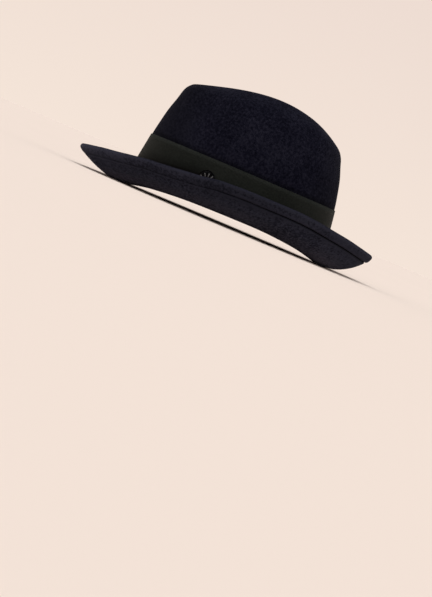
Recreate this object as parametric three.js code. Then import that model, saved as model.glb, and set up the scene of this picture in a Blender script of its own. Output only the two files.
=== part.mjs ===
// A felt hat with a dented crown, a brim turned up all round, a ribbon band and a sweatband.
// Millimetres. +X is the wearer's left, -Y is the front and +Z is up. The hat rests on z = 0.

import * as THREE from 'three';
import { ConvexGeometry } from 'three/addons/geometries/ConvexGeometry.js';

// Felt body
const FELT = 2.2; // thickness of the blocked felt
const BRIM_WIDTH = 49; // along the felt, from the edge to the head opening
const BRIM_FILLET = 4; // radius where the brim turns up into the crown
const WELT_WIDTH = 6.6; // the outer strip of felt that is folded under
const WELT_THICKNESS = 2.1; // what the fold adds under the brim
const WELT_STEP = 0.8; // run of the step at the inner edge of the fold
const EDGE_BULGE = 2.1; // how far the folded edge rounds outward
const PRESSED_FLAT = 0.3; // the underside is pressed flat where it lies lower than this

// Ribbon, sweatband and stone
const GAP = 0.3; // air between pieces that touch
const RIBBON_TOP = 53.2;
const RIBBON_THICKNESS = 0.9;
const RIBBON_LAP = 30; // degrees round the hat that the two ends lie over each other
const RIBBON_START = 260; // degrees round from the front, on the wearer's right
const RIBBON_CLIMB = { from: 345, to: 358 }; // degrees along it where it climbs over its start
const RIBBON_ARCH = 3.5; // how much higher its lower edge lies at the front and back
const SWEATBAND_HEIGHT = 34;
const SWEATBAND_THICKNESS = 1.1;
const SWEATBAND_DROP = 0.5; // how far it hangs below the head opening
const SWEATBAND_BREAK = 1.5; // above the fillet, where it leaves the crown wall
const STONE = { y: -23.5, z: 33.3, width: 16.5, height: 16.5, depth: 5.2 };
const STONE_SIDES = 12;

// Steps of the faceted surface
const FOLDED_ROWS = 3; // rows of points along the felt that is folded under
const SEGMENTS = 72; // round the hat
const BRIM_STEPS = 4; // from the fold to the head opening
const FILLET_STEPS = 3;
const EDGE_ANGLES = [45, 0, -45]; // degrees round the folded edge, from its top to its underside

// The brim at five places from the front round to the back, alike on both sides:
// height of the head opening, and the angle through which the brim curls up.
const BRIM = [
  { place: 'front', opening: 0.3, curl: 43 },
  { place: 'front quarter', opening: 6.2, curl: 49.3 },
  { place: 'side', opening: 10.4, curl: 71 },
  { place: 'back quarter', opening: 7.4, curl: 68.5 },
  { place: 'back', opening: 0.9, curl: 65 },
];

// Sections of the crown from its foot over the rim and down into the dent. Each is an oval from
// front to back with a half width, narrower at the front by the share egg. Its height is given at
// the same five places, and steps are the rows of the surface from the section before.
const CROWN = [
  { name: 'foot', front: -96.2, back: 101.3, half: 84, egg: 0.03, steps: 0 },
  { name: 'band middle', front: -91.8, back: 99.5, half: 82.5, egg: 0.03, steps: 2,
    z: [32, 32, 32, 32, 32] },
  { name: 'band top', front: -88.6, back: 96.4, half: 80.5, egg: 0.04, steps: 1,
    z: [54, 54, 54, 54, 54] },
  { name: 'wall middle', front: -84.3, back: 91.4, half: 77.5, egg: 0.05, steps: 2,
    z: [77, 77, 77, 77, 77] },
  { name: 'wall top', front: -79.6, back: 86, half: 72.5, egg: 0.07, steps: 2,
    z: [94, 95, 97.5, 95.5, 93] },
  { name: 'shoulder', front: -76.6, back: 80.3, half: 63.5, egg: 0.1, steps: 2,
    z: [104.5, 109, 114.5, 112, 105] },
  { name: 'rim', front: -70, back: 65.5, half: 46, egg: 0.18, steps: 3,
    z: [111, 116.2, 125.6, 121.9, 114.5] },
  { name: 'inner rim', front: -61, back: 54, half: 33, egg: 0.2, steps: 2,
    z: [108.5, 112, 118.6, 118.8, 115] },
  { name: 'dent wall', front: -54, back: 43.5, half: 20, egg: 0.2, steps: 2,
    z: [104, 106.3, 109.5, 112, 111.8] },
  { name: 'dent floor', front: -49, back: 35, half: 8, egg: 0.2, steps: 2,
    z: [101, 102.5, 104.5, 107.3, 108.5] },
  { name: 'dent line', front: -47, back: 32, half: 0, egg: 0.2, steps: 1,
    z: [100.5, 102, 104, 106.5, 108] },
];

// A shallow hollow that fingers press into each side of the crown's front. Its depth is reached
// at the distance fullAt from the middle plane and fades to nothing there.
const PINCH = { y: -50, z: 97, radius: 17, depth: 5, fullAt: 25 };

const radians = THREE.MathUtils.degToRad;

// A value round the hat: a cosine series through the five places of a table row.
function roundValue(values, angle) {
  const last = values.length - 1;
  let total = 0;
  for (let wave = 0; wave <= last; wave += 1) {
    let share = 0;
    for (let place = 0; place <= last; place += 1) {
      const end = place === 0 || place === last ? 0.5 : 1;
      share += (end * values[place] * Math.cos((wave * place * Math.PI) / last)) / last;
    }
    const weight = wave === 0 || wave === last ? 1 : 2;
    total += weight * share * Math.cos(wave * angle);
  }
  return total;
}

// A point of a section's oval, at an angle from the front towards the wearer's left.
function ovalPoint(section, angle, height) {
  const middle = (section.front + section.back) / 2;
  const reach = (section.back - section.front) / 2;
  const x = section.half * Math.sin(angle) * (1 - section.egg * Math.cos(angle));
  const y = middle - reach * Math.cos(angle);
  return new THREE.Vector3(x, y, height);
}

// The level direction that points out of the foot oval.
function outwardAt(angle) {
  const foot = CROWN[0];
  const x = ((foot.back - foot.front) / 2) * Math.sin(angle);
  const y = -foot.half * Math.cos(angle);
  return new THREE.Vector3(x, y, 0).normalize();
}

// Distances from the brim edge at which the brim has a row of points.
function brimRows() {
  const rows = [0, WELT_WIDTH / 2, WELT_WIDTH, WELT_WIDTH + WELT_STEP];
  const start = WELT_WIDTH + WELT_STEP;
  for (let step = 1; step <= BRIM_STEPS; step += 1) {
    rows.push(start + ((BRIM_WIDTH - start) * step) / BRIM_STEPS);
  }
  return rows;
}

const openingHeights = BRIM.map((row) => row.opening);
const curlAngles = BRIM.map((row) => row.curl);

// The middle of the felt along one meridian, from the brim edge up to the dent line.
function meridian(angle) {
  const foot = ovalPoint(CROWN[0], angle, 0);
  const outward = outwardAt(angle);
  const opening = roundValue(openingHeights, angle);
  const curl = radians(roundValue(curlAngles, angle));
  const points = [];
  const place = (run, rise) => {
    const point = foot.clone().addScaledVector(outward, run);
    point.z = Math.max(opening + rise, FELT / 2);
    points.push(point);
  };
  const brimRadius = BRIM_WIDTH / curl;
  for (const fromEdge of brimRows()) {
    const turned = (BRIM_WIDTH - fromEdge) / brimRadius;
    place(BRIM_FILLET + brimRadius * Math.sin(turned), brimRadius * (1 - Math.cos(turned)));
  }
  for (let step = 1; step <= FILLET_STEPS; step += 1) {
    const turned = ((Math.PI / 2) * step) / FILLET_STEPS;
    place(BRIM_FILLET * (1 - Math.sin(turned)), BRIM_FILLET * (1 - Math.cos(turned)));
  }
  const knots = [points[points.length - 1]];
  for (const section of CROWN.slice(1)) {
    knots.push(ovalPoint(section, angle, roundValue(section.z, angle)));
  }
  for (let index = 1; index < knots.length; index += 1) {
    points.push(...crownSpan(knots, index));
  }
  return points.map(pressPinch);
}

// The rows of one crown section: a smooth curve through its knot and the knots either side.
function crownSpan(knots, index) {
  const before = knots[index - 2] ?? knots[index - 1].clone().multiplyScalar(2).sub(knots[index]);
  const from = knots[index - 1];
  const to = knots[index];
  const after = knots[index + 1] ?? to.clone().multiplyScalar(2).sub(from);
  const points = [];
  const { steps } = CROWN[index];
  for (let step = 1; step <= steps; step += 1) {
    points.push(catmullRom(before, from, to, after, step / steps));
  }
  return points;
}

function catmullRom(before, from, to, after, share) {
  const slopeFrom = to.clone().sub(before).multiplyScalar(0.5);
  const slopeTo = after.clone().sub(from).multiplyScalar(0.5);
  const square = share * share;
  const cube = square * share;
  return from.clone().multiplyScalar(2 * cube - 3 * square + 1)
    .addScaledVector(slopeFrom, cube - 2 * square + share)
    .addScaledVector(to, 3 * square - 2 * cube)
    .addScaledVector(slopeTo, cube - square);
}

function pressPinch(point) {
  const away = Math.hypot(point.y - PINCH.y, point.z - PINCH.z) / PINCH.radius;
  const side = THREE.MathUtils.clamp(point.x / PINCH.fullAt, -1, 1);
  point.x -= side * PINCH.depth * Math.exp(-away * away);
  return point;
}

// The middle of the felt as a grid: meridians round the hat, each with the same rows.
const grid = [];
for (let segment = 0; segment < SEGMENTS; segment += 1) {
  grid.push(meridian((2 * Math.PI * segment) / SEGMENTS));
}
const lastRow = grid[0].length - 1;

// The direction out of the felt: up on the brim and outward on the crown.
function feltNormal(segment, row) {
  if (row === lastRow) {
    return new THREE.Vector3(0, 0, 1);
  }
  const next = grid[(segment + 1) % SEGMENTS][row];
  const previous = grid[(segment + SEGMENTS - 1) % SEGMENTS][row];
  const round = next.clone().sub(previous);
  const inward = grid[segment][row + 1].clone().sub(grid[segment][Math.max(row - 1, 0)]);
  return round.cross(inward).normalize();
}

function feltPoint(segment, row, offset) {
  return grid[segment][row].clone().addScaledVector(feltNormal(segment, row), offset);
}

// The section of the felt along one meridian: over the outside, round the edge and back inside.
function feltSection(segment) {
  const points = [];
  for (let row = lastRow; row >= 0; row -= 1) {
    points.push(feltPoint(segment, row, FELT / 2));
  }
  const edge = grid[segment][0];
  const normal = feltNormal(segment, 0);
  const outward = edge.clone().sub(grid[segment][1]).normalize();
  const middle = edge.clone().addScaledVector(normal, -WELT_THICKNESS / 2);
  for (const turned of EDGE_ANGLES) {
    const point = middle.clone();
    point.addScaledVector(outward, EDGE_BULGE * Math.cos(radians(turned)));
    point.addScaledVector(normal, ((FELT + WELT_THICKNESS) / 2) * Math.sin(radians(turned)));
    points.push(point);
  }
  for (let row = 0; row <= lastRow; row += 1) {
    const offset = row < FOLDED_ROWS ? FELT / 2 + WELT_THICKNESS : FELT / 2;
    const point = feltPoint(segment, row, -offset);
    point.z = point.z < PRESSED_FLAT ? 0 : point.z;
    points.push(point);
  }
  return points;
}

// A surface through rings of points that each close on themselves. Points that coincide become
// one vertex, so the first and last ring may meet in a line or be the same ring.
function surfaceFromRings(rings) {
  const positions = [];
  const known = new Map();
  const vertex = (point) => {
    const key = [point.x, point.y, point.z].map((value) => Math.round(value * 1e4)).join(' ');
    if (!known.has(key)) {
      known.set(key, positions.length / 3);
      positions.push(point.x, point.y, point.z);
    }
    return known.get(key);
  };
  const indices = rings.map((ring) => ring.map(vertex));
  const triangles = [];
  const addQuad = (a, b, c, d) => triangles.push(a, b, c, a, c, d);
  const count = indices[0].length;
  for (let ring = 0; ring < indices.length - 1; ring += 1) {
    for (let step = 0; step < count; step += 1) {
      const next = (step + 1) % count;
      const near = indices[ring];
      const far = indices[ring + 1];
      addQuad(near[step], far[step], far[next], near[next]);
    }
  }
  const geometry = new THREE.BufferGeometry();
  geometry.setAttribute('position', new THREE.Float32BufferAttribute(positions, 3));
  geometry.setIndex(triangles);
  geometry.computeVertexNormals();
  return geometry;
}

function feltGeometry() {
  const sections = grid.map((_, segment) => feltSection(segment));
  const rings = sections[0].map((_, row) => sections.map((section) => section[row]));
  return surfaceFromRings(rings);
}

// A point of the middle of the crown wall, at an angle and a height.
function wallPoint(angle, height) {
  const turn = THREE.MathUtils.euclideanModulo(angle / (2 * Math.PI), 1) * SEGMENTS;
  const segment = Math.floor(turn);
  const share = turn - segment;
  const here = meridianAt(segment % SEGMENTS, height);
  const next = meridianAt((segment + 1) % SEGMENTS, height);
  return here.lerp(next, share);
}

// Where one meridian of the grid reaches a height on the crown wall.
function meridianAt(segment, height) {
  const points = grid[segment];
  let row = brimRows().length;
  while (points[row + 1].z < height) {
    row += 1;
  }
  const share = (height - points[row].z) / (points[row + 1].z - points[row].z);
  return points[row].clone().lerp(points[row + 1], share);
}

// A point that stands off the middle of the crown wall, square to it.
function offWall(angle, height, offset) {
  const small = radians(1);
  const round = wallPoint(angle + small, height).sub(wallPoint(angle - small, height));
  const up = wallPoint(angle, height + 1).sub(wallPoint(angle, height - 1));
  const outward = round.cross(up).normalize();
  return wallPoint(angle, height).addScaledVector(outward, offset);
}

// A strip along the wall as a closed loop of points: up its outer face and down its inner face.
// Between its edges it has the same rows as the felt, so that it follows the felt's own facets.
function stripLoop(angle, bottom, top, inner, outer) {
  const heights = [bottom, rowHeight(angle, 1), rowHeight(angle, 2), top];
  const outside = heights.map((height) => offWall(angle, height, outer));
  const inside = heights.map((height) => offWall(angle, height, inner)).reverse();
  return [...outside, ...inside];
}

// The height of a row of the felt, counted up from the end of the fillet.
function rowHeight(angle, count) {
  const row = brimRows().length + FILLET_STEPS - 1 + count;
  const segment = Math.round(THREE.MathUtils.euclideanModulo(angle / (2 * Math.PI), 1) * SEGMENTS);
  return grid[segment % SEGMENTS][row].z;
}

// The body of a strip from its loops, either closed round the hat or with two flat ends.
function stripGeometry(loops, closedRound) {
  const rings = closedRound ? [...loops, loops[0]] : loops;
  const geometry = surfaceFromRings(rings);
  if (!closedRound) {
    addStripEnds(geometry, loops);
  }
  return geometry;
}

function addStripEnds(geometry, loops) {
  const count = loops[0].length;
  const triangles = Array.from(geometry.index.array);
  const addEnd = (first, forward) => {
    for (let step = 0; step < count / 2 - 1; step += 1) {
      const corners = [step, step + 1, count - 2 - step, count - 1 - step].map((value) => first + value);
      const [a, b, c, d] = forward ? corners : corners.reverse();
      triangles.push(a, b, c, a, c, d);
    }
  };
  addEnd(0, true);
  addEnd((loops.length - 1) * count, false);
  geometry.setIndex(triangles);
  geometry.computeVertexNormals();
}

const footHeight = (angle) => Math.max(roundValue(openingHeights, angle), FELT / 2);

// The ribbon: one strip whose end climbs over its own start.
function ribbonGeometry() {
  const loops = [];
  const steps = Math.round((SEGMENTS * (360 + RIBBON_LAP)) / 360);
  for (let step = 0; step <= steps; step += 1) {
    const turned = ((360 + RIBBON_LAP) * step) / steps;
    const angle = radians(RIBBON_START + turned);
    const climb = THREE.MathUtils.smoothstep(turned, RIBBON_CLIMB.from, RIBBON_CLIMB.to);
    const inner = FELT / 2 + GAP + climb * (RIBBON_THICKNESS + GAP);
    const bottom = ribbonBottom(angle);
    loops.push(stripLoop(angle, bottom, RIBBON_TOP, inner, inner + RIBBON_THICKNESS));
  }
  return stripGeometry(loops, false);
}

// The ribbon keeps just above the brim at the sides and a little more above it at front and back.
function ribbonBottom(angle) {
  const side = Math.sin(angle) ** 2;
  return footHeight(angle) + BRIM_FILLET + RIBBON_ARCH * (1 - side);
}

function sweatbandGeometry() {
  const loops = [];
  for (let segment = 0; segment < SEGMENTS; segment += 1) {
    const angle = (2 * Math.PI * segment) / SEGMENTS;
    const outer = -(FELT / 2 + GAP);
    const bottom = footHeight(angle) - SWEATBAND_DROP;
    loops.push(sweatbandLoop(angle, bottom, outer));
  }
  return stripGeometry(loops, true);
}

// Below the fillet the sweatband hangs straight down from the crown wall.
function sweatbandLoop(angle, bottom, outer) {
  const foot = footHeight(angle) + BRIM_FILLET + SWEATBAND_BREAK;
  const loop = stripLoop(angle, foot, bottom + SWEATBAND_HEIGHT, outer - SWEATBAND_THICKNESS, outer);
  const drop = (point) => new THREE.Vector3(point.x, point.y, bottom);
  return [drop(loop[0]), ...loop, drop(loop[loop.length - 1])];
}

// A round cut stone: a flat back, a girdle, a ring of facets and a table.
function stoneGeometry() {
  const rings = [
    { scale: 0.86, level: 0 },
    { scale: 1.0, level: 0.3 },
    { scale: 0.8, level: 0.78 },
    { scale: 0.52, level: 1 },
  ];
  const points = [];
  rings.forEach((ring, index) => {
    for (let side = 0; side < STONE_SIDES; side += 1) {
      const angle = (2 * Math.PI * (side + (index % 2) / 2)) / STONE_SIDES;
      const x = (ring.scale * STONE.width * Math.cos(angle)) / 2;
      const y = (ring.scale * STONE.height * Math.sin(angle)) / 2;
      points.push(new THREE.Vector3(x, y, ring.level * STONE.depth));
    }
  });
  return new ConvexGeometry(points);
}

// The angle from the front at which the crown wall has the stone's place along Y.
function angleAtY(y, height) {
  let low = 0;
  let high = Math.PI;
  for (let step = 0; step < 40; step += 1) {
    const middle = (low + high) / 2;
    if (wallPoint(middle, height).y < y) {
      low = middle;
    } else {
      high = middle;
    }
  }
  return low;
}

function material(color, roughness) {
  return new THREE.MeshStandardMaterial({ color, roughness, metalness: 0 });
}

function namedMesh(name, geometry, surface) {
  const mesh = new THREE.Mesh(geometry, surface);
  mesh.name = name;
  return mesh;
}

const hat = new THREE.Group();
hat.add(namedMesh('felt_body', feltGeometry(), material('#14151f', 0.95)));
hat.add(namedMesh('ribbon_band', ribbonGeometry(), material('#1b1c1a', 0.75)));
hat.add(namedMesh('sweatband', sweatbandGeometry(), material('#33201a', 0.6)));

const stone = namedMesh('band_stone', stoneGeometry(), material('#050506', 0.12));
const stoneAngle = angleAtY(STONE.y, STONE.z);
const stoneSeat = FELT / 2 + 2 * GAP + RIBBON_THICKNESS;
stone.position.copy(offWall(stoneAngle, STONE.z, stoneSeat));
const stoneOut = offWall(stoneAngle, STONE.z, stoneSeat + 1).sub(stone.position);
const stoneUp = offWall(stoneAngle, STONE.z + 1, 0).sub(offWall(stoneAngle, STONE.z - 1, 0)).normalize();
const stoneAlong = stoneUp.clone().cross(stoneOut).normalize();
stone.setRotationFromMatrix(new THREE.Matrix4().makeBasis(stoneAlong, stoneUp, stoneOut));
hat.add(stone);

export default hat;
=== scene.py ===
# %% [markdown]
# # A felt hat
#
# The hat is one blocked piece of dark wool felt with a dented crown and a brim that turns up all
# round. A flat grosgrain ribbon goes round its foot, a leather band lines the head opening, and a
# small cut stone sits on the ribbon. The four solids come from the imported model, which gives every
# size and place. This script gives each of them the surface that the real material has.
#
# Everything is in metres. +X is the wearer's left, -Y is the front and +Z is up.

# %% Load the fixed frame
import bisect
import math

import bmesh
import bpy
from mathutils import Matrix, Vector, noise
from mathutils.bvhtree import BVHTree


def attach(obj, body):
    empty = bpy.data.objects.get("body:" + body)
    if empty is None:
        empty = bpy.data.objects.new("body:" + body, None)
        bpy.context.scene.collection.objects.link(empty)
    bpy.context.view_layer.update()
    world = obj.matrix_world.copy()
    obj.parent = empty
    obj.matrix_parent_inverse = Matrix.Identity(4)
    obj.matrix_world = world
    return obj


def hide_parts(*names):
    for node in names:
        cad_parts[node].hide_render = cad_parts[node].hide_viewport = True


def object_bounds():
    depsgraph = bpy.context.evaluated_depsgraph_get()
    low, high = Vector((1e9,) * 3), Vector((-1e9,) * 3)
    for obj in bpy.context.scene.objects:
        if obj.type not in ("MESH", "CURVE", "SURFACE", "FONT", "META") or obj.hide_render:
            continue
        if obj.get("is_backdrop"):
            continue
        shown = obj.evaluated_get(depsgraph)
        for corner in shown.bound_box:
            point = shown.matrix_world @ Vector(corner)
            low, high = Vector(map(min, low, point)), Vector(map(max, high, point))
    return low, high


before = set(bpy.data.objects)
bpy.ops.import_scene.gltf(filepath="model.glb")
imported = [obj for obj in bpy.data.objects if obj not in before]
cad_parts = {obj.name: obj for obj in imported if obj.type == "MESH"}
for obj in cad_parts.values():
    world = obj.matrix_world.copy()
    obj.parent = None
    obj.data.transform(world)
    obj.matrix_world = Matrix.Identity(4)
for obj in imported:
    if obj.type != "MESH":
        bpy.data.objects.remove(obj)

MM = 0.001
cad_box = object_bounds()
print("solids:", sorted(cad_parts))
print("size in mm:", [round((high - low) / MM, 1) for low, high in zip(*cad_box)])

# %% [markdown]
# ## Camera
#
# The photograph shows the hat from the wearer's left, almost level, with its front at the left of
# the picture and tilted forward. Here the hat stands on its own, so the tilt goes to the camera,
# which is rolled by the same angle round its line of sight. A long lens from over two metres keeps
# the far brim nearly as large as the near one, as in the photograph. The camera stands just above
# the level of the floor.

# %% Camera
ROLL = math.radians(22.9)
CAMERA_PLACE = Vector((2.200, 0.020, 0.030))
CAMERA_TARGET = Vector((0.0, 0.0267, -0.0673))
LENS_MM, SENSOR_MM = 139.65, 36.0
SEEN_FROM, SEEN_TO = 0.05, 80.0

back = (CAMERA_PLACE - CAMERA_TARGET).normalized()
picture_up = Vector((0.0, -math.sin(ROLL), math.cos(ROLL)))
right = picture_up.cross(back).normalized()
camera = bpy.data.objects.new("camera", bpy.data.cameras.new("camera"))
camera.data.lens = LENS_MM
camera.data.sensor_width = SENSOR_MM
camera.data.clip_start, camera.data.clip_end = SEEN_FROM, SEEN_TO
turn = Matrix((right, back.cross(right), back)).transposed()
camera.matrix_world = Matrix.Translation(CAMERA_PLACE) @ turn.to_4x4()
bpy.context.scene.collection.objects.link(camera)
bpy.context.scene.camera = camera
print("camera looks down by", round(math.degrees(math.asin(back.z)), 1), "degrees")

# %% [markdown]
# ## Helpers for skins
#
# A solid arrives as loose triangles. Welding the points that coincide and joining each pair of
# triangles gives back the even four-sided faces that a subdivision surface needs. An edge that
# bends sharply, such as the cut edge of folded felt, gets a crease, because the subdivision would
# round it away. A subdivision also shrinks a shape, so its points are pushed out until the fine
# mesh passes through the places they had. The finished mesh goes into a new object at the origin,
# as every piece here.

# %% Helpers: a welded copy of a solid, creases, and a finished piece
WELD_WITHIN = 1e-6
FACE_TURN = math.radians(180)


def smooth_step(value, low, high):
    """From 0 at low to 1 at high, with a soft start and end."""
    share = min(max((value - low) / (high - low), 0.0), 1.0)
    return share * share * (3 - 2 * share)


def welded_copy(node_name):
    skin = bmesh.new()
    skin.from_mesh(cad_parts[node_name].data)
    skin.edges.layers.float.new("crease_edge")
    bmesh.ops.remove_doubles(skin, verts=skin.verts, dist=WELD_WITHIN)
    bmesh.ops.join_triangles(
        skin,
        faces=skin.faces,
        angle_face_threshold=FACE_TURN,
        angle_shape_threshold=FACE_TURN,
    )
    left_over = sum(len(face.verts) == 3 for face in skin.faces)
    print(node_name, "faces:", len(skin.faces), "of them triangles:", left_over)
    return skin


def sharp_edges(skin, sharpest):
    return [edge for edge in skin.edges if edge.calc_face_angle(0.0) > sharpest]


def crease_edges(skin, edges, weight_at):
    """Creases the edges, each by what weight_at gives for its place."""
    crease = skin.edges.layers.float["crease_edge"]
    for edge in edges:
        edge[crease] = weight_at(edge.verts[0].co)
    print("creased edges:", len(edges))


def piece_from(skin, name, smooth=True):
    mesh = bpy.data.meshes.new(name)
    skin.to_mesh(mesh)
    skin.free()
    for extra in ("custom_normal", "sharp_face", "sharp_edge"):
        if extra in mesh.attributes:
            mesh.attributes.remove(mesh.attributes[extra])
    mesh.polygons.foreach_set("use_smooth", [smooth] * len(mesh.polygons))
    piece = bpy.data.objects.new(name, mesh)
    bpy.context.scene.collection.objects.link(piece)
    return piece


def subdivided(piece, levels, rounds=6):
    """The piece with its subdivision applied, so that it still passes through its points."""
    modifier = piece.modifiers.new("subdivision", "SUBSURF")
    modifier.levels = modifier.render_levels = levels
    aims = [vertex.co.copy() for vertex in piece.data.vertices]
    for number in range(rounds + 1):
        graph = bpy.context.evaluated_depsgraph_get()
        fine = piece.evaluated_get(graph).data
        misses = [aim - vertex.co for aim, vertex in zip(aims, fine.vertices)]
        furthest = max(miss.length for miss in misses)
        if number in (0, rounds):
            print(piece.name, "points off the fine mesh by up to", round(furthest / MM, 2), "mm")
        if number < rounds:
            for vertex, miss in zip(piece.data.vertices, misses):
                vertex.co += miss
            piece.data.update()
    fine = bpy.data.meshes.new_from_object(piece.evaluated_get(graph))
    piece.modifiers.clear()
    piece.data = fine
    print(piece.name, "faces after subdivision:", len(fine.polygons))
    return piece


# %% [markdown]
# ## Felt body
#
# Wool felt is steamed and pulled over a block, so it has no seams: crown and brim are one skin
# about two millimetres thick. The edge of the brim is folded under and pressed into a soft roll
# that lies nearly flush with the brim. From the side to the back the roll ends in a crisp narrow
# groove, and towards the front it was ironed smooth.
#
# It could be sculpted by hand, but the solid already has the outline. So its skin is copied, and
# the fold is worked row by row. A row is the ring of points at one distance from the edge. The two
# sharp rows are the lip of the fold and its foot, which are sorted by their turn round the crown,
# and the others are found by walking away from these two from point to joined point. The foot of
# the crown is close to an oval, and its two half widths and its middle give every place a turn
# round the crown and a distance beyond its foot.

# %% Felt body: the rows of points along the fold
AXIS_Y = 2.55 * MM
FOOT_HALF = 84.0 * MM
FOOT_REACH = 98.75 * MM
SHARPEST_BEND = math.radians(50)
HIGHEST_FOLD = 60 * MM


def around(place):
    """The turn of a place round the crown, from its front, and how far it lies beyond the foot."""
    x, y = place.x / FOOT_HALF, (place.y - AXIS_Y) / FOOT_REACH
    return math.atan2(x, -y), (math.hypot(x, y) - 1) * FOOT_HALF


def joined(point):
    return [edge.other_vert(point) for edge in point.link_edges]


def next_row(row, row_before):
    """Walks one step on from a row, away from the row before it."""
    known = set(row) | set(row_before)
    return [next(end for end in joined(point) if end not in known) for point in row]


felt_skin = welded_copy("felt_body")
sharp_rows = {True: set(), False: set()}
for edge in sharp_edges(felt_skin, SHARPEST_BEND):
    if edge.verts[0].co.z < HIGHEST_FOLD:
        sharp_rows[edge.is_convex].update(edge.verts)
foot = sorted(sharp_rows[False], key=lambda point: around(point.co))
lip = [next(end for end in joined(point) if end in sharp_rows[True]) for point in foot]
middle = next_row(lip, foot)
heel = next_row(middle, lip)
low = next_row(heel, middle)
nose = next_row(low, heel)
high = next_row(nose, low)
inner = next_row(foot, lip)
beyond = next_row(inner, foot)
rows = (foot, lip, middle, heel, low, nose, high, inner, beyond)
print("points in each row of the fold:", {len(set(row)) for row in rows})

# %% [markdown]
# Each row then moves by so much towards the edge of the brim and so much out of its underside, by
# the table below. The middle of the fold swells and its lip turns in, which makes the roll. The
# rows inside the foot are padded out, less and less. A new row, the bank, is cut just inside the
# foot and laid on the parabola through the rows around it, so that it follows the curve of the
# brim. The foot stays behind at the bottom of the groove. Towards the front all of this gives way
# to a second table, in which the foot comes out until hardly any groove is left.
#
# The foot's places and the slope of the brim there are noted before anything moves, because the
# cells below measure from them how far a point lies from the edge.

# %% Felt body: the roll and its groove
BANK_AT = 0.8 * MM
CRISP_BEHIND = (-42 * MM, 12 * MM)
MOVES = {
    "lip": (1.15, -0.25),
    "middle": (0.0, 0.75),
    "heel": (0.1, 0.6),
    "low": (0.3, 0.5),
    "nose": (0.5, 0.1),
    "high": (0.3, 0.0),
    "foot": (1.1, 0.5),
    "bank": (0.9, 1.5),
    "inner": (0.3, 0.7),
    "beyond": (0.0, 0.15),
}
FRONT_MOVES = {
    "lip": (0.0, -0.35),
    "middle": (0.0, 0.4),
    "foot": (0.0, 1.6),
    "bank": (0.0, 1.5),
    "inner": (0.0, 0.45),
    "beyond": (0.0, 0.0),
}

bank = []
for point, next_point in zip(foot, inner):
    rung = next(edge for edge in point.link_edges if next_point in edge.verts)
    bank.append(bmesh.utils.edge_split(rung, point, 0.5)[1])
bank_points = set(bank)
for face in list(felt_skin.faces):
    ends = [corner for corner in face.verts if corner in bank_points]
    if len(ends) == 2:
        bmesh.utils.face_split(face, *ends)
groove = sorted(
    (*around(end.co), end.co.copy(), (end.co - near.co).normalized())
    for end, near in zip(foot, inner)
)
for foot_point, lip_point, *others, inner_point, beyond_point, bank_point in zip(*rows, bank):
    start, near, far = foot_point.co.copy(), inner_point.co.copy(), beyond_point.co.copy()
    share = BANK_AT / (near - start).length
    bow = (start - 2 * near + far) * share * (share - 1) / 2
    bank_point.co = start + (near - start) * share + bow
    along = (start - near).normalized()
    rise = lip_point.co - start
    outward = (rise - along * rise.dot(along)).normalized()
    crisp = smooth_step(start.y, *CRISP_BEHIND)
    points = (lip_point, *others, foot_point, bank_point, inner_point, beyond_point)
    for point, (name, move) in zip(points, MOVES.items()):
        front = FRONT_MOVES.get(name, move)
        ahead, out = (crisp * a + (1 - crisp) * b for a, b in zip(move, front))
        point.co += (along * ahead + outward * out) * MM

# %% [markdown]
# Soft felt keeps no true line. The rim of the brim has dropped by two or three millimetres. Two
# tables give this dip from the front to the back, in millimetres: the left one follows the rim in
# the photograph, and the right one, which the photograph hides, is evener. The dip is full at the
# edge of the brim and fades out towards the foot of the crown.

# %% Felt body: the dip of the rim
FOLD_WIDE = 8.7 * MM
FURTHEST = 50 * MM
LEFT_SAG = (
    (-125, 0.0), (-105, 0.8), (-80, 1.2), (-65, 2.1), (-50, 2.6), (-30, 2.6), (-10, 1.3),
    (22, 1.4), (78, 0.0),
)
RIGHT_SAG = ((-125, 0.0), (-55, 2.2), (-25, 2.2), (60, 0.0))
SAG_REACH = (0.15, 0.75)
BRIM_FROM = (2 * MM, 8 * MM)


def from_edge(place):
    """The distance from the edge of the brim, from 0 to 1, along the slope of the fold."""
    turn, _ = around(place)
    after = bisect.bisect(groove, (turn,)) % len(groove)
    span = (groove[after][0] - groove[after - 1][0]) % (2 * math.pi)
    share = ((turn - groove[after - 1][0]) % (2 * math.pi)) / span
    end = groove[after - 1][2].lerp(groove[after][2], share)
    slope = groove[after - 1][3].lerp(groove[after][3], share)
    return min(max((FOLD_WIDE - (place - end).dot(slope)) / FURTHEST, 0.0), 1.0)


def sag_at(place):
    """How much lower the rim lies, by a table of places from front to back for either side."""
    table, y = LEFT_SAG if place.x > 0 else RIGHT_SAG, place.y / MM
    after = min(max(bisect.bisect(table, (y,)), 1), len(table) - 1)
    (low, first), (high, second) = table[after - 1], table[after]
    return (first + (second - first) * smooth_step(y, low, high)) * MM


def in_brim(place):
    """1 in the brim and 0 in the crown."""
    return smooth_step(around(place)[1], *BRIM_FROM)


print("dip of the rim beside the stone in mm:", round(sag_at(Vector((1, -0.03, 0))) / MM, 1))

# %% [markdown]
# The foot and the bank are creased, so that the subdivision keeps the groove crisp, and no crease
# is left at the front. The dip, and a gentle unevenness from a noise in long waves, are added to
# the fine mesh, so that neither changes the roll. The seed of the noise is set, because otherwise
# it takes the clock and every run gives another hat. Neither moves the places on which it stands.

# %% Felt body: shape
FELT_LEVELS = 2
FOLD_CREASE = 0.9
UNEVEN_BY = 0.28 * MM
UNEVEN_WAVE = 38 * MM
UNEVEN_SEED = 7
FLAT_BELOW = 4 * MM


def fold_crease(place):
    return FOLD_CREASE * smooth_step(place.y, *CRISP_BEHIND)


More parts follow.
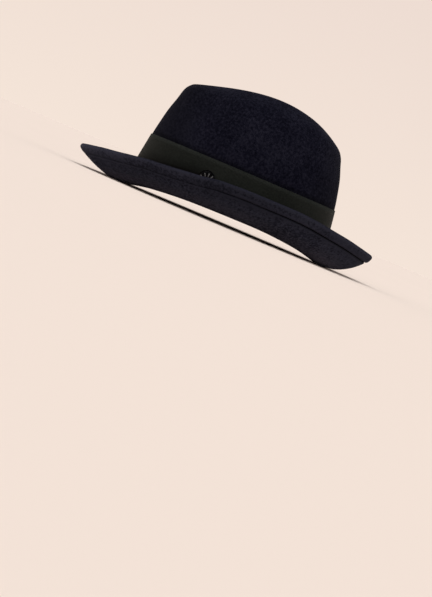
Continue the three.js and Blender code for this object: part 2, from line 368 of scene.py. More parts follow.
foot_points = set(foot)
along_rows = [
    edge
    for edge in felt_skin.edges
    if any(set(edge.verts) <= row for row in (foot_points, bank_points))
]
crease_edges(felt_skin, along_rows, fold_crease)
felt = subdivided(piece_from(felt_skin, "crown_and_brim"), FELT_LEVELS)
noise.seed_set(UNEVEN_SEED)
for vertex in felt.data.vertices:
    place = vertex.co
    held = smooth_step(from_edge(place), *SAG_REACH)
    place.z -= sag_at(place) * (1 - held) * in_brim(place)
    fade = min(max(place.z, 0.0) / FLAT_BELOW, 1.0)
    place += noise.noise_vector(place / UNEVEN_WAVE) * UNEVEN_BY * fade
    place.z = max(place.z, 0.0)
felt.data.update()
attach(felt, "root")
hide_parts("felt_body")

# %% [markdown]
# The nap wears where the felt bends outward, such as the edge of the brim and the rim of the
# crown, and painted shade darkens it where it bends inward. How much each point bends is measured
# once on the mesh and kept as an attribute, so that the finish can follow it from any side.

# %% Felt body: how much each point bends
FELT_BEND = 180.0
BEND_ROUNDS = 2


def mark_bend(piece, full_bend):
    """Stores the bend of each point, evened out: 0 is hollow, 0.5 flat, 1 bent out sharply."""
    skin = bmesh.new()
    skin.from_mesh(piece.data)
    values = []
    for vertex in skin.verts:
        spans = [edge.other_vert(vertex).co - vertex.co for edge in vertex.link_edges]
        bend = sum(-2 * span.dot(vertex.normal) / span.length_squared for span in spans)
        values.append(bend / max(len(spans), 1))
    for _ in range(BEND_ROUNDS):
        values = [
            (values[v.index] + sum(values[e.other_vert(v).index] for e in v.link_edges))
            / (1 + len(v.link_edges))
            for v in skin.verts
        ]
    skin.free()
    marks = [min(max(0.5 + 0.5 * value / full_bend, 0.0), 1.0) for value in values]
    layer = piece.data.attributes.new("bend", "FLOAT", "POINT")
    layer.data.foreach_set("value", marks)
    print(piece.name, "bend from", round(min(marks), 2), "to", round(max(marks), 2))


mark_bend(felt, FELT_BEND)

# %% [markdown]
# The underside of the brim gets a greyer and far paler copy of the felt's colour, which is painted
# light. Three marks on each point carry this. The first says how much it belongs to the underside:
# it lies beyond the foot of the crown, and it faces down or away from the crown. The second grows
# from the front to the back, as the crispness of the groove does, and sets how much painted shade
# the groove and the hollows under the brim get. The third is its distance from the edge, as it was
# before
# the rim dipped: by it the underside is painted dark next to the groove and paler towards the break,
# on which the hat stands, as painted light.

# %% Felt body: the underside of the brim
FACING_AWAY = (-0.6, 0.6)
GROOVE_DARKENS = (-40 * MM, 95 * MM)
BREAK_WIDE = 9 * MM
BREAK_FADE = 6 * MM


def underside(vertex):
    _, beyond_foot = around(vertex.co)
    x, y = vertex.co.x / FOOT_HALF**2, (vertex.co.y - AXIS_Y) / FOOT_REACH**2
    facing = vertex.normal.dot(Vector((x, y, 0.0)).normalized()) - vertex.normal.z
    start = 0.0 if vertex.normal.z < 0 else BREAK_WIDE
    away = smooth_step(facing, *FACING_AWAY)
    return away * smooth_step(beyond_foot, start, start + BREAK_FADE)


def crisp(vertex):
    return smooth_step(vertex.co.y, *GROOVE_DARKENS)


def edge_mark(vertex):
    place = vertex.co.copy()
    place.z += sag_at(place) * in_brim(place)
    return from_edge(place)


for name, mark in (("under", underside), ("crisp", crisp), ("from_edge", edge_mark)):
    marks = [mark(vertex) for vertex in felt.data.vertices]
    layer = felt.data.attributes.new(name, "FLOAT", "POINT")
    layer.data.foreach_set("value", marks)
    print(name, "marked on", sum(value > 0 for value in marks), "points")

# %% [markdown]
# ## Ribbon band
#
# Grosgrain is woven with thick cords across its width, which show as fine upright ribs, and its
# edges are the loops where the thread turns back. A bump alone would leave the edge smooth, so
# the ribs are real. A grid is laid out flat, one column for each quarter of a rib, and every point
# is then carried to the felt: a level ray from the axis of the crown finds the outer face of the
# wall, and the point is set on it. The ribbon starts on the wearer's right, goes once round the
# hat and climbs over its own start, where its end is turned under and sewn down.

# %% Ribbon band: where the wall of the crown is
FOOT_HEIGHTS = (0.3, 6.2, 10.4, 7.4, 0.9)
BRIM_FILLET = 4.0
RIBBON_ARCH = 3.5
RIBBON_TOP = 53.2 * MM
LEAST_FOOT = 1.1
INTO_FELT = 0.4
WALL_STEP = math.radians(1.5)

felt_tree = BVHTree.FromPolygons(
    [vertex.co for vertex in felt.data.vertices],
    [tuple(polygon.vertices) for polygon in felt.data.polygons],
)


def wall_at(turn, height):
    """The outer face of the crown wall, in the direction turn from the front to the left."""
    away = Vector((math.sin(turn), -math.cos(turn), 0.0))
    start = Vector((0.0, AXIS_Y, height))
    inner = felt_tree.ray_cast(start, away)[0]
    return felt_tree.ray_cast(inner + away * INTO_FELT * MM, away)[0]


def outward_at(turn, height):
    """The level direction square to the wall."""
    along = wall_at(turn + WALL_STEP, height) - wall_at(turn - WALL_STEP, height)
    return Vector((along.y, -along.x, 0.0)).normalized()


def foot_height(turn):
    """The height of the head opening in millimetres: a cosine series through its five places."""
    total = 0.0
    last = len(FOOT_HEIGHTS) - 1
    for wave in range(last + 1):
        share = 0.0
        for place, height in enumerate(FOOT_HEIGHTS):
            end = 0.5 if place in (0, last) else 1.0
            share += end * height * math.cos(wave * place * math.pi / last) / last
        total += (1 if wave in (0, last) else 2) * share * math.cos(wave * turn)
    return max(total, LEAST_FOOT)


def ribbon_foot(turn):
    """The height of the ribbon's lower edge, which arches a little in front and behind."""
    return (foot_height(turn) + BRIM_FILLET + RIBBON_ARCH * math.cos(turn) ** 2) * MM


print("wall half width at 30 mm:", round(wall_at(math.radians(90), 30 * MM).x / MM, 1))

# %% [markdown]
# The ribs are evenly spaced along the cloth, but the crown is an oval, so even turns would crowd
# them on its sides. The way round the wall is therefore measured once, and any length along the
# ribbon is looked up in it.

# %% Ribbon band: even steps along its length
RIBBON_FROM = math.radians(258.6)
RIBBON_TO = math.radians(652.9)
MEASURE_STEPS = 720
MEASURE_HEIGHT = 33 * MM

turns = [
    RIBBON_FROM + (RIBBON_TO - RIBBON_FROM) * step / MEASURE_STEPS
    for step in range(MEASURE_STEPS + 1)
]
line = [wall_at(turn, MEASURE_HEIGHT) for turn in turns]
lengths = [0.0]
for here, after in zip(line, line[1:]):
    lengths.append(lengths[-1] + (after - here).length)
RIBBON_LENGTH = lengths[-1]


def turn_at(length):
    """The turn round the crown at which the ribbon has run this length."""
    low, high = 0, MEASURE_STEPS
    while high - low > 1:
        middle = (low + high) // 2
        low, high = (middle, high) if lengths[middle] <= length else (low, middle)
    share = (length - lengths[low]) / (lengths[high] - lengths[low])
    return turns[low] + (turns[high] - turns[low]) * min(max(share, 0.0), 1.0)


print("ribbon length in mm:", round(RIBBON_LENGTH / MM, 1))

# %% [markdown]
# Each point also keeps two marks for the finish: how high it lies on its rib, which the finish
# turns into painted shade between the ribs, and how high it lies over the rim of the brim beside it.
# In front, where the turned-up brim stands close to the ribbon, the cloth near and below the rim is
# painted darker, a painted shade, and this gives way beside the stone.

# %% Ribbon band: how high a place lies over the rim
RIM_BEYOND = 15 * MM
RIM_STEP = 3 * MM
RIM_FADES = (-35 * MM, -15 * MM)
RIM_PASSED = 8 * MM

rim_heights = {}
for vertex in felt.data.vertices:
    if vertex.co.z < HIGHEST_FOLD and around(vertex.co)[1] > RIM_BEYOND:
        step = round(vertex.co.y / RIM_STEP)
        rim_heights[step] = max(rim_heights.get(step, 0.0), vertex.co.z)


def over_rim(place):
    """The height over the rim beside a place. Behind the front it counts as more."""
    step = place.y / RIM_STEP
    low = math.floor(step)
    rim = rim_heights[low] + (rim_heights[low + 1] - rim_heights[low]) * (step - low)
    return place.z - rim + RIM_PASSED * smooth_step(place.y, *RIM_FADES)


print("highest rim in mm:", round(max(rim_heights.values()) / MM, 1))

# %% Ribbon band: shape
RIB_PITCH = 1.15 * MM
POINTS_A_RIB = 4
ROWS = 9
RIB_RELIEF = 0.10 * MM
LOOP_RELIEF = 0.16 * MM
RIBBON_AIR = 0.12 * MM
RIBBON_THICKNESS = 0.75 * MM
RIBBON_WIDTH = 41.5 * MM
LAP_FROM, LAP_TO = -15 * MM, -3 * MM
HEM = 7 * MM
HEM_STEP = 1 * MM
HEM_RISE = 0.55 * MM
RIB_ROUNDNESS = 0.6
EDGE_SHARE = 0.001
RIM_RANGE = 100 * MM

rib_count = round(RIBBON_LENGTH / RIB_PITCH)
columns = rib_count * POINTS_A_RIB
once_round = next(
    lengths[step] for step in range(MEASURE_STEPS) if turns[step] >= RIBBON_FROM + 2 * math.pi
)


def lift_at(length):
    """How far the ribbon's outer face stands off the felt, over its start and at its hem."""
    lap = smooth_step(length, once_round + LAP_FROM, once_round + LAP_TO)
    hem = smooth_step(length, RIBBON_LENGTH - HEM - HEM_STEP, RIBBON_LENGTH - HEM)
    return RIBBON_AIR + RIBBON_THICKNESS + lap * (RIBBON_THICKNESS + RIBBON_AIR) + hem * HEM_RISE


ribbon_skin = bmesh.new()
weave = ribbon_skin.loops.layers.uv.new("weave")
bmesh.ops.create_grid(
    ribbon_skin, x_segments=columns, y_segments=ROWS, size=0.5, calc_uvs=True
)
rib_layer = ribbon_skin.verts.layers.float.new("rib")
rim_layer = ribbon_skin.verts.layers.float.new("over_rim")
columns_done = {}
for vertex in ribbon_skin.verts:
    column = round((vertex.co.x + 0.5) * columns)
    across = min(max(vertex.co.y + 0.5, 0.0), 1.0)
    length = RIBBON_LENGTH * column / columns
    if column not in columns_done:
        turn = turn_at(length)
        columns_done[column] = (turn, ribbon_foot(turn), outward_at(turn, MEASURE_HEIGHT))
    turn, foot, outward = columns_done[column]
    rib = abs(math.sin(math.pi * column / POINTS_A_RIB)) ** RIB_ROUNDNESS
    edge = 1 if across > 1 - EDGE_SHARE else -1 if across < EDGE_SHARE else 0
    height = foot + (RIBBON_TOP - foot) * across
    place = wall_at(turn, height) + outward * (lift_at(length) + (rib - 1) * RIB_RELIEF)
    place.z += edge * (rib - 0.5) * LOOP_RELIEF
    vertex.co = place
    vertex[rib_layer] = rib
    vertex[rim_layer] = 0.5 + over_rim(place) / RIM_RANGE
for face in ribbon_skin.faces:
    for loop in face.loops:
        loop[weave].uv = (loop[weave].uv.x * RIBBON_LENGTH, loop[weave].uv.y * RIBBON_WIDTH)
ribbon = piece_from(ribbon_skin, "grosgrain_band")
thickness = ribbon.modifiers.new("thickness", "SOLIDIFY")
thickness.thickness = RIBBON_THICKNESS
thickness.offset = -1.0
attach(ribbon, "root")
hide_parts("ribbon_band")
print("ribs:", rib_count)

# %% [markdown]
# ## Sweatband
#
# A strip of thin leather is sewn inside the head opening, and lies against the crown wall above
# it. Seen from below it is the only part of the inside that catches the light. Its solid is a
# closed ring already, so a subdivision with creases along its cut edges is enough.

# %% Sweatband: shape
CUT_CREASE = 0.8
LEATHER_LEVELS = 2
LEATHER_BEND = 900.0

sweat_skin = welded_copy("sweatband")
crease_edges(sweat_skin, sharp_edges(sweat_skin, SHARPEST_BEND), lambda place: CUT_CREASE)
sweatband = subdivided(piece_from(sweat_skin, "leather_sweatband"), LEATHER_LEVELS)
mark_bend(sweatband, LEATHER_BEND)
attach(sweatband, "root")
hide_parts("sweatband")

# %% [markdown]
# ## Stitches
#
# Thread shows in two places: a row along the foot of the sweatband, and a short row that holds
# the hem of the ribbon. A stitch is a small rounded grain of thread, so each one is a sphere with
# few faces, drawn out along the row and pressed flat into the surface. A level ray from the axis
# of the crown finds the face of the leather for each stitch, as it found the wall for the ribbon.

# %% Stitches: one maker for both rows
STITCH_LEVELS = 1


def add_stitch(skin, place, along, outward, length, width):
    """A stitch at a place, drawn out in the direction along, with half its body in the surface."""
    across = outward.cross(along).normalized()
    axes = Matrix((along * length / 2, across * width / 2, outward * width / 2)).transposed()
    made = bmesh.ops.create_icosphere(skin, subdivisions=STITCH_LEVELS, radius=1.0)
    matrix = Matrix.Translation(place) @ axes.to_4x4()
    bmesh.ops.transform(skin, matrix=matrix, verts=made["verts"])


# %% Stitches: the row on the sweatband
SWEAT_STITCHES = 168
SWEAT_STITCH = (2.4 * MM, 0.55 * MM)
SWEAT_ROW = 6.5
SWEAT_STEP = 0.01

sweat_tree = BVHTree.FromPolygons(
    [vertex.co for vertex in sweatband.data.vertices],
    [tuple(polygon.vertices) for polygon in sweatband.data.polygons],
)


def sweat_face(turn, height):
    """The inner face of the sweatband."""
    away = Vector((math.sin(turn), -math.cos(turn), 0.0))
    return sweat_tree.ray_cast(Vector((0.0, AXIS_Y, height)), away)[0]


thread_skin = bmesh.new()
for number in range(SWEAT_STITCHES):
    turn = 2 * math.pi * number / SWEAT_STITCHES
    height = (foot_height(turn) + SWEAT_ROW) * MM
    ahead = sweat_face(turn + SWEAT_STEP, height)
    behind = sweat_face(turn - SWEAT_STEP, height)
    along = (ahead - behind).normalized()
    inward = Vector((-along.y, along.x, 0.0)).normalized()
    add_stitch(thread_skin, sweat_face(turn, height), along, inward, *SWEAT_STITCH)
sweat_thread = piece_from(thread_skin, "sweatband_stitches")
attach(sweat_thread, "root")
print("stitches on the sweatband:", SWEAT_STITCHES)

# %% Stitches: the row on the hem
HEM_STITCHES = 9
HEM_STITCH = (2.2 * MM, 0.4 * MM)
HEM_ROW = 1.4 * MM

thread_skin = bmesh.new()
hem_turn = turn_at(RIBBON_LENGTH - HEM_ROW)
foot = ribbon_foot(hem_turn)
for number in range(HEM_STITCHES):
    share = (number + 0.5) / HEM_STITCHES
    height = foot + (RIBBON_TOP - foot) * share
    outward = outward_at(hem_turn, height)
    place = wall_at(hem_turn, height) + outward * lift_at(RIBBON_LENGTH)
    add_stitch(thread_skin, place, Vector((0, 0, 1)), outward, *HEM_STITCH)
hem_thread = piece_from(thread_skin, "ribbon_stitches")
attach(hem_thread, "root")
print("stitches on the hem:", HEM_STITCHES)

# %% [markdown]
# ## Stone
#
# The ornament on the band is a small black cut stone. A cut stone is known by its flat facets and
# crisp edges, so nothing is smoothed: the triangles of each facet are dissolved into one face, and
# every edge gets a bevel of a tenth of a millimetre, which catches the light as polished edges do.

# %% Stone: shape
SAME_FACET = math.radians(2)
WORN_EDGE = 0.12 * MM

stone_skin = bmesh.new()
stone_skin.from_mesh(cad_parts["band_stone"].data)
bmesh.ops.remove_doubles(stone_skin, verts=stone_skin.verts, dist=WELD_WITHIN)
bmesh.ops.dissolve_limit(
    stone_skin, angle_limit=SAME_FACET, verts=stone_skin.verts, edges=stone_skin.edges
)
print("facets:", len(stone_skin.faces))
bmesh.ops.bevel(
    stone_skin,
    geom=list(stone_skin.edges),
    offset=WORN_EDGE,
    segments=2,
    profile=0.5,
    affect="EDGES",
    material=-1,
)
stone = piece_from(stone_skin, "cut_stone", smooth=False)
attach(stone, "root")
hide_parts("band_stone")

# %% [markdown]
# ## Finishes: helpers
#
# Each finish is built from the same few nodes: noise of a stated grain size on the piece's own
# coordinates, ramps that turn it into colours, and bumps of a stated height. Grain sizes are
# given in metres, so that a nap of half a millimetre is just that at any distance. What varies is
# added up to one tone, a ramp turns the tone into a colour, and tables of shades darken the colour
# from place to place. What is the same all over is set on the shader itself. The Mix node keeps
# sockets for every kind of value, and the numbers below are those of a colour.

# %% Finishes: helpers
COLOUR_SOCKETS = (0, 6, 7)
COLOUR_RESULT = 2


def greys(*stops):
    """Stops of a ramp in grey, each a place and a tone."""
    return tuple((place, (tone, tone, tone)) for place, tone in stops)


def set_stops(ramp, stops):
    """Gives a ramp its stops, which are listed from low to high."""
    while len(ramp.elements) < len(stops):
        ramp.elements.new(0.5)
    for element, (place, colour) in zip(ramp.elements, stops):
        element.position = place
        element.color = (*colour, 1.0)


class Finish:
    """A material with its node tree and the shader that the finish sets."""

    def __init__(self, name):
        self.material = bpy.data.materials.new(name)
        self.material.use_nodes = True
        self.tree = self.material.node_tree
        self.shader = self.tree.nodes["Principled BSDF"]
        self.coordinates = self.node("ShaderNodeTexCoord").outputs["Object"]
        self.bump = None

    def node(self, kind, **settings):
        made = self.tree.nodes.new(kind)
        for key, value in settings.items():
            setattr(made, key, value)
        return made

    def link(self, source, target):
        self.tree.links.new(source, target)

    def feed(self, **sources):
        """Links each source to the shader's socket of its name."""
        for key, source in sources.items():
            self.link(source, self.shader.inputs[key.replace("_", " ")])

    def noise(self, size, detail=2.0, rough=0.5, twist=0.0, where=None):
        made = self.node("ShaderNodeTexNoise")
        made.inputs["Scale"].default_value = 1 / size
        made.inputs["Detail"].default_value = detail
        made.inputs["Roughness"].default_value = rough
        made.inputs["Distortion"].default_value = twist
        self.link(where or self.coordinates, made.inputs["Vector"])
        return made.outputs["Fac"]

    def attribute(self, name):
        return self.node("ShaderNodeAttribute", attribute_name=name).outputs["Fac"]

    def sum(self, first, weight, second):
        """first times weight, plus second."""
        made = self.node("ShaderNodeMath", operation="MULTIPLY_ADD")
        for value, target in zip((first, weight, second), made.inputs):
            if isinstance(value, (int, float)):
                target.default_value = value
            else:
                self.link(value, target)
        return made.outputs[0]

    def total(self, *weighted, start=0.0):
        """Every value times its weight, added to the start."""
        for value, weight in weighted:
            start = self.sum(value, weight, start)
        return start

    def maths(self, operation, *sources):
        made = self.node("ShaderNodeMath", operation=operation)
        for source, target in zip(sources, made.inputs):
            self.link(source, target)
        return made.outputs[0]

    def vector(self, operation, source, other=None, output="Vector"):
        made = self.node("ShaderNodeVectorMath", operation=operation)
        self.link(source, made.inputs[0])
        if other:
            made.inputs[1].default_value = other
        return made.outputs[output]

    def split(self, vector):
        made = self.node("ShaderNodeSeparateXYZ")
        self.link(vector, made.inputs[0])
        return made.outputs

    def ramp(self, value, *stops):
        made = self.node("ShaderNodeValToRGB")
        set_stops(made.color_ramp, stops)
        self.link(value, made.inputs["Fac"])
        return made.outputs["Color"]

    def mix(self, share, first, second, blend_type="MIX"):
        made = self.node("ShaderNodeMix", data_type="RGBA", blend_type=blend_type)
        targets = (made.inputs[number] for number in COLOUR_SOCKETS)
        for value, target in zip((share, first, second), targets):
            if isinstance(value, (int, float, tuple)):
                target.default_value = value
            else:
                self.link(value, target)
        return made.outputs[COLOUR_RESULT]

    def shaded(self, colour, *rows):
        """The colour times the shade that each row's table gives for its value, by its share."""
        for share, tones, value in rows:
            shade = self.ramp(value, *tones)
            colour = self.mix(share, colour, shade, blend_type="MULTIPLY")
        return colour

    def raise_by(self, value, height):
        made = self.node("ShaderNodeBump")
        made.inputs["Strength"].default_value = 1.0
        made.inputs["Distance"].default_value = height
        self.link(value, made.inputs["Height"])
        if self.bump:
            self.link(self.bump, made.inputs["Normal"])
        self.bump = made.outputs["Normal"]
        self.link(self.bump, self.shader.inputs["Normal"])

    def set(self, **values):
        for key, value in values.items():
            self.shader.inputs[key.replace("_", " ")].default_value = value

    def put_on(self, piece):
        piece.data.materials.clear()
        piece.data.materials.append(self.material)


# %% [markdown]
# ## Felt finish
#
# Felt is a mat of short fibres that lie every way. Up close it shows tufts of a few tenths of a
# millimetre, further off a mottle of two or three millimetres where the nap lies another way, and
# over a hand's breadth the dye and the brushing vary. Three noises of these sizes make the tone,
# with a little from the bend of each point and from the height, which makes the crown a little paler
# just above the ribbon. On the crown the tone picks a near-black blue, and under the brim a greyer
# and paler one, as painted light.
#
# Painted light and shade then change these colours from place to place. Each table below gives a
# shade for one measure: the distance from the edge in steps of 50 mm, the height in metres, the
# place from the front, 0, to the back, 1, or the bend. So painted shade darkens the crown along the
# top of the ribbon, at both ends and in its hollows, and painted light makes the underside paler
# towards the break, near the floor and at the front. The groove is a dark line of painted shade,
# because its table stands in for depth that the mesh doesn't have. Felt has no gloss, but its loose
# fibres catch light at grazing angles, which the sheen of the shader gives.

# %% Felt finish: tables of shades
# Painted light under the brim: dark next to the groove, paler towards the break.
UNDER_LIGHT_TONES = (
    *greys(
        (0.000, 0.165), (0.090, 0.165), (0.140, 0.145), (0.180, 0.150),
        (0.210, 0.165), (0.260, 0.190), (0.330, 0.250),
    ),
    (0.410, (0.280, 0.280, 0.270)),
    (0.510, (0.370, 0.355, 0.335)),
    (0.600, (0.460, 0.435, 0.400)),
    (0.750, (0.560, 0.525, 0.475)),
)
# Painted shade: the dark line of the groove under the brim.
GROOVE_SHADE_TONES = greys((0.136, 1.0), (0.148, 0.28), (0.162, 0.28), (0.184, 1.0))
# Painted light: the underside is kept paler in its lowest few millimetres, next to the floor.
NEAR_FLOOR_LIGHT_TONES = greys((0.0, 1.0), (0.004, 0.80), (0.009, 0.45))
HAT_SPAN = 300 * MM
# Painted light under the brim: palest at the front, darkest around the middle, a little paler
# behind.
UNDER_FRONT_LIGHT_TONES = greys(
    (0.05, 1.0), (0.15, 0.85), (0.25, 0.65), (0.37, 0.64),
    (0.47, 0.51), (0.57, 0.49), (0.67, 0.56), (0.77, 0.66),
)
# Painted shade: the crown darker towards its front and back ends.
CROWN_ENDS_SHADE_TONES = greys(
    (0.217, 0.58), (0.293, 0.70), (0.350, 1.0), (0.707, 1.0), (0.750, 0.78), (0.800, 0.72)
)
# Painted shade: a dark strip on the crown along the top of the ribbon.
RIBBON_TOP_SHADE_TONES = greys((0.046, 1.0), (0.050, 0.35), (0.0545, 0.45), (0.057, 1.0))
# Painted shade where the felt bends inward; on the crown it is left off within 15 mm of the edge of
# the brim.
HOLLOW_SHADE_TONES = greys((0.04, 0.22), (0.30, 1.0))
HOLLOW_SHADE_FROM_EDGE = greys((0.30, 0.0), (0.45, 1.0))
# The crown is a little paler just above the ribbon, fading out by 90 mm high.
LOWER_CROWN_PALER_TONES = greys((0.055, 1.0), (0.064, 0.7), (0.075, 0.3), (0.090, 0.0))
print("darkest shade under the brim:", min(tone for _, (tone, *_) in UNDER_LIGHT_TONES))

# %% Felt finish
felt_finish = Finish("wool_felt")
nap = felt_finish.noise(0.42 * MM, detail=3.0, rough=0.6, twist=1.2)
mottle = felt_finish.noise(2.3 * MM, detail=3.0, rough=0.6, twist=0.4)
brushing = felt_finish.noise(34 * MM, detail=2.0)
bend, crispness, distance, belongs_under = (
    felt_finish.attribute(name) for name in ("bend", "crisp", "from_edge", "under")
)
parts = felt_finish.split(felt_finish.coordinates)
height = parts["Z"]
lengthwise = felt_finish.sum(parts["Y"], 1 / HAT_SPAN, 0.5)
# The bend pales the felt where it bends out and wears, and darkens it where it bends in, a painted
# shade.
tone = felt_finish.total(
    (nap, 0.30),
    (mottle, 0.50),
    (brushing, 0.20),
    (bend, 0.16),
    (felt_finish.ramp(height, *LOWER_CROWN_PALER_TONES), 0.035),
)
crown_colour = felt_finish.shaded(
    felt_finish.ramp(
        tone,
        (0.48, (0.0016, 0.0017, 0.0048)),
        (0.58, (0.0050, 0.0052, 0.0115)),
        (0.68, (0.0125, 0.0128, 0.0225)),
    ),
    (1.0, RIBBON_TOP_SHADE_TONES, height),
    (1.0, CROWN_ENDS_SHADE_TONES, lengthwise),
    (felt_finish.ramp(distance, *HOLLOW_SHADE_FROM_EDGE), HOLLOW_SHADE_TONES, bend),
)
# Painted light: under the brim the felt takes a greyer, far paler copy of its colour.
under_painted_light_colour = felt_finish.shaded(
    felt_finish.ramp(
        tone,
        (0.48, (0.0480, 0.0560, 0.1150)),
        (0.58, (0.1780, 0.1900, 0.3180)),
        (0.68, (0.4300, 0.4500, 0.6900)),
    ),
    (1.0, UNDER_LIGHT_TONES, distance),
    (crispness, GROOVE_SHADE_TONES, distance),
    (1.0, NEAR_FLOOR_LIGHT_TONES, height),
    (1.0, UNDER_FRONT_LIGHT_TONES, lengthwise),
    (crispness, HOLLOW_SHADE_TONES, bend),
)
felt_finish.feed(Base_Color=felt_finish.mix(belongs_under, crown_colour, under_painted_light_colour))
felt_finish.set(
    Roughness=0.95,
    Specular_IOR_Level=0.03,
    Sheen_Weight=0.05,
    Sheen_Roughness=0.45,
    Sheen_Tint=(0.17, 0.18, 0.28, 1.0),
)
felt_finish.raise_by(mottle, 0.12 * MM)
felt_finish.raise_by(nap, 0.08 * MM)
felt_finish.put_on(felt)
print("felt nodes:", len(felt_finish.tree.nodes))

# %% [markdown]
# ## Ribbon finish
#
# The ribbon is duller than satin but smoother than felt. Its ribs are real, so the finish adds
# the fine threads that bind them, painted shade in the grooves between the ribs, slubs where a
# thread is thick, a slightly paler upper edge, a tone that changes along its length, and slow
# changes of tone where the cloth has been handled. The threads follow the ribbon's own flat
# pattern, not the room. A table of painted shade darkens it near and below the rim of the brim,
# where 0.5 is the level of the rim and 0.01 is one millimetre.

# %% Ribbon finish
# A paler band along the top edge of the ribbon, and a tone that changes along its length.
PALE_TOP, PALE_TOP_EDGE = 0.915, 0.015
ALONG_RIBBON_TONES = greys((0.30, 0.0), (0.52, 0.5), (0.70, 1.0), (0.85, 0.2))
# Painted shade on the ribbon near and below the rim of the brim.
RIM_SHADE_TONES = greys(
    (0.508, 0.05), (0.520, 0.30), (0.531, 0.52), (0.563, 0.72), (0.583, 0.89), (0.600, 1.0)
)
RIBBON_DARKER = -0.235

ribbon_finish = Finish("grosgrain")
flat = ribbon_finish.node("ShaderNodeUVMap", uv_map="weave").outputs["UV"]
threads = ribbon_finish.noise(0.34 * MM, detail=1.0, where=flat)
handled = ribbon_finish.noise(22 * MM, detail=2.0, where=flat)
slubs = ribbon_finish.noise(2.2 * MM, detail=2.0, rough=0.6, where=flat)
parts = ribbon_finish.split(flat)
across = ribbon_finish.sum(parts["Y"], 1 / RIBBON_WIDTH, 0.0)
along = ribbon_finish.sum(parts["X"], 1 / RIBBON_LENGTH, 0.0)
# The rib mark darkens the grooves between the ribs, a painted shade.
tone = ribbon_finish.total(
    (ribbon_finish.attribute("rib"), 0.35),
    (threads, 0.30),
    (handled, 0.35),
    (ribbon_finish.ramp(across, *greys((PALE_TOP, 0.0), (PALE_TOP + PALE_TOP_EDGE, 1.0))), 0.10),
    (ribbon_finish.ramp(along, *ALONG_RIBBON_TONES), 0.14),
    (slubs, 0.60),
)
colour = ribbon_finish.shaded(
    ribbon_finish.ramp(
        ribbon_finish.sum(tone, 1.0, RIBBON_DARKER),
        (0.25, (0.0028, 0.0038, 0.0032)),
        (0.60, (0.0068, 0.0086, 0.0074)),
        (0.90, (0.0150, 0.0175, 0.0155)),
    ),
    (1.0, RIM_SHADE_TONES, ribbon_finish.attribute("over_rim")),
)
gloss = ribbon_finish.ramp(threads, *greys((0.3, 0.52), (0.7, 0.66)))
ribbon_finish.feed(Base_Color=colour, Roughness=gloss)
ribbon_finish.set(
    Specular_IOR_Level=0.06,
    Sheen_Weight=0.04,
    Sheen_Roughness=0.4,
    Sheen_Tint=(0.28, 0.32, 0.28, 1.0),
)
ribbon_finish.raise_by(threads, 0.03 * MM)
ribbon_finish.put_on(ribbon)
print("ribbon nodes:", len(ribbon_finish.tree.nodes))

# %% [markdown]
# ## Leather and thread finishes
#
# The sweatband is thin dyed leather with a grain of about a millimetre, darker where it bends
# inward, a painted shade, and a little brighter along its cut edges. Thread is matt.

# %% Leather finish
PORE_SIZE = 1.1 * MM

leather_finish = Finish("dark_leather")
pores = leather_finish.node("ShaderNodeTexVoronoi", feature="DISTANCE_TO_EDGE")
pores.inputs["Scale"].default_value = 1 / PORE_SIZE
leather_finish.link(leather_finish.coordinates, pores.inputs["Vector"])
stain = leather_finish.noise(17 * MM, detail=3.0)
# The bend darkens the leather where it bends inward, a painted shade, and pales its cut edges.
tone = leather_finish.total(
    (pores.outputs["Distance"], 0.25),
    (stain, 0.50),
    (leather_finish.attribute("bend"), 0.40),
)
colour = leather_finish.ramp(
    tone,
    (0.30, (0.0150, 0.0060, 0.0045)),
    (0.55, (0.0330, 0.0140, 0.0100)),
    (0.80, (0.0620, 0.0270, 0.0180)),
)
gloss = leather_finish.ramp(stain, *greys((0.35, 0.42), (0.65, 0.60)))
leather_finish.feed(Base_Color=colour, Roughness=gloss)
leather_finish.set(Specular_IOR_Level=0.45)
leather_finish.raise_by(pores.outputs["Distance"], 0.08 * MM)
leather_finish.put_on(sweatband)
print("leather nodes:", len(leather_finish.tree.nodes))

# %% Thread finishes
for name, dark, light, row in (
    ("brown_thread", (0.020, 0.010, 0.007), (0.055, 0.030, 0.021), sweat_thread),
    ("black_thread", (0.004, 0.004, 0.004), (0.014, 0.014, 0.013), hem_thread),
):
    thread_finish = Finish(name)
    twist = thread_finish.noise(0.22 * MM, detail=1.0)
    colour = thread_finish.ramp(twist, (0.35, dark), (0.65, light))
    thread_finish.feed(Base_Color=colour)
    thread_finish.set(Roughness=0.75, Specular_IOR_Level=0.3)
    thread_finish.raise_by(twist, 0.05 * MM)
    thread_finish.put_on(row)
    print(name, "on", row.name)

# %% [markdown]
# ## Stone finish
#
# The stone is polished black with faint wipe marks in its gloss. In the photograph pale flashes
# run like spokes over its upper facets. Real reflections would move with the light and fill whole
# facets, so the flashes are painted: a wave counts them round the middle of the stone, and a ramp
# of the distance from the middle gives them their ends.

# %% Stone finish
STONE_MIDDLE = (0.0, -23.5 * MM, 31.0 * MM)
ACROSS_STONE = (0.0, 1.0, 1.0)
FLASHES = 12
FLASH_TONES = greys((0.55, 0.0), (0.90, 1.0))
FLASH_SPAN = 12 * MM
FLASH_REACH = greys((0.35, 0.0), (0.44, 1.0), (0.64, 1.0), (0.71, 0.0))
FLASH_COLOUR = (0.11, 0.11, 0.115, 1.0)

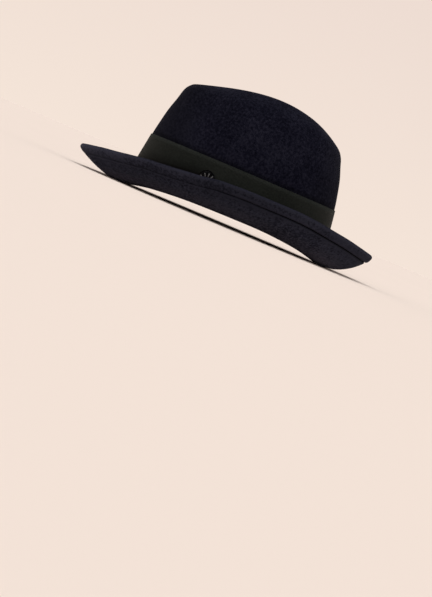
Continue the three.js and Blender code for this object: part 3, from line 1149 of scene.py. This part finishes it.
stone_finish = Finish("polished_black")
wiped = stone_finish.noise(3.5 * MM, detail=3.0)
black = stone_finish.ramp(
    wiped, (0.35, (0.0010, 0.0010, 0.0013)), (0.7, (0.0024, 0.0024, 0.0028))
)
spoke = stone_finish.vector("SUBTRACT", stone_finish.coordinates, STONE_MIDDLE)
flat = stone_finish.vector("MULTIPLY", spoke, ACROSS_STONE)
reach = stone_finish.vector("LENGTH", flat, output="Value")
parts = stone_finish.split(flat)
turn = stone_finish.maths("ARCTAN2", parts["Z"], parts["Y"])
wave = stone_finish.maths("COSINE", stone_finish.sum(turn, FLASHES, 0.0))
flash = stone_finish.shaded(
    stone_finish.ramp(wave, *FLASH_TONES),
    (1.0, FLASH_REACH, stone_finish.sum(reach, 1 / FLASH_SPAN, 0.0)),
)
flash = stone_finish.mix(1.0, flash, FLASH_COLOUR, blend_type="MULTIPLY")
colour = stone_finish.mix(1.0, black, flash, blend_type="ADD")
gloss = stone_finish.ramp(wiped, *greys((0.3, 0.10), (0.75, 0.22)))
stone_finish.feed(Base_Color=colour, Roughness=gloss)
stone_finish.set(Specular_IOR_Level=0.03)
stone_finish.put_on(stone)
print("flashes round the stone:", FLASHES)

# %% [markdown]
# ## Floor and light
#
# The photograph was taken against one pale warm tone, lit softly from all sides. A large floor
# runs to the horizon, a tenth of a millimetre under the hat, and the air above the horizon has the
# floor's tone, so no line shows between them. Overhead the world is dimmer, and three wide soft
# suns give the key, the fill and the top light. The dim part of the sky is what lets the facets of
# the stone go black.

# %% Floor
FLOOR_TONE = (0.811, 0.716, 0.657)
FLOOR_SHADES = (0.99, 1.01)
FLOOR_RADIUS = 60.0
FLOOR_GAP = 0.1 * MM

floor_skin = bmesh.new()
bmesh.ops.create_circle(floor_skin, cap_ends=True, segments=96, radius=FLOOR_RADIUS)
bmesh.ops.translate(floor_skin, vec=(0, 0, -FLOOR_GAP), verts=floor_skin.verts)
floor = piece_from(floor_skin, "floor", smooth=False)
floor_finish = Finish("pale_floor")
grain = floor_finish.noise(1.2, detail=1.0)
dark, light = (tuple(value * shade for value in FLOOR_TONE) for shade in FLOOR_SHADES)
floor_finish.feed(Base_Color=floor_finish.ramp(grain, (0.2, dark), (0.8, light)))
floor_finish.set(Roughness=1.0, Specular_IOR_Level=0.0)
floor_finish.put_on(floor)
floor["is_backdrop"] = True
print("floor reaches in metres:", FLOOR_RADIUS)

# %% World
HORIZON_TONE = (0.905, 0.776, 0.686)
AIR_TONE = (0.855, 0.723, 0.651)
OVERHEAD_TONE = (0.30, 0.29, 0.28)
SKY_TONES = ((0.0, HORIZON_TONE), (0.10, AIR_TONE), (0.25, AIR_TONE), (0.60, OVERHEAD_TONE))

world = bpy.data.worlds.new("studio")
bpy.context.scene.world = world
world.use_nodes = True
air = world.node_tree
direction = air.nodes.new("ShaderNodeTexCoord").outputs["Generated"]
parts = air.nodes.new("ShaderNodeSeparateXYZ")
shade = air.nodes.new("ShaderNodeValToRGB")
set_stops(shade.color_ramp, SKY_TONES)
air.links.new(direction, parts.inputs[0])
air.links.new(parts.outputs["Z"], shade.inputs["Fac"])
air.links.new(shade.outputs["Color"], air.nodes["Background"].inputs["Color"])
bpy.context.scene.view_settings.view_transform = "Standard"
print("sky stops:", len(SKY_TONES))

# %% Suns
SUN_TINT = (1.0, 0.99, 0.975)
SUNS = (
    ("overhead", (-0.25, -0.10, 1.0), 1.9, 70),
    ("key", (1.0, -0.25, 0.55), 0.60, 45),
    ("fill", (0.5, 0.9, 0.4), 0.20, 50),
)
for name, place, strength, width in SUNS:
    sun = bpy.data.objects.new(name, bpy.data.lights.new(name, "SUN"))
    sun.data.energy = strength
    sun.data.angle = math.radians(width)
    sun.data.color = SUN_TINT
    sun.rotation_mode = "QUATERNION"
    sun.rotation_quaternion = Vector(place).to_track_quat("Z", "Y")
    bpy.context.scene.collection.objects.link(sun)
    print(name, "sun:", strength, "wide by degrees:", width)

# %% [markdown]
# ## Size and finish
#
# The dressed hat should stay the size of the solids, so the boxes of both are printed.

# %% Size and finish
bpy.context.view_layer.update()
boxes = {"cad": cad_box, "visual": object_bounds()}
for name, box in boxes.items():
    print(name, [[round(value / MM, 2) for value in corner] for corner in box])
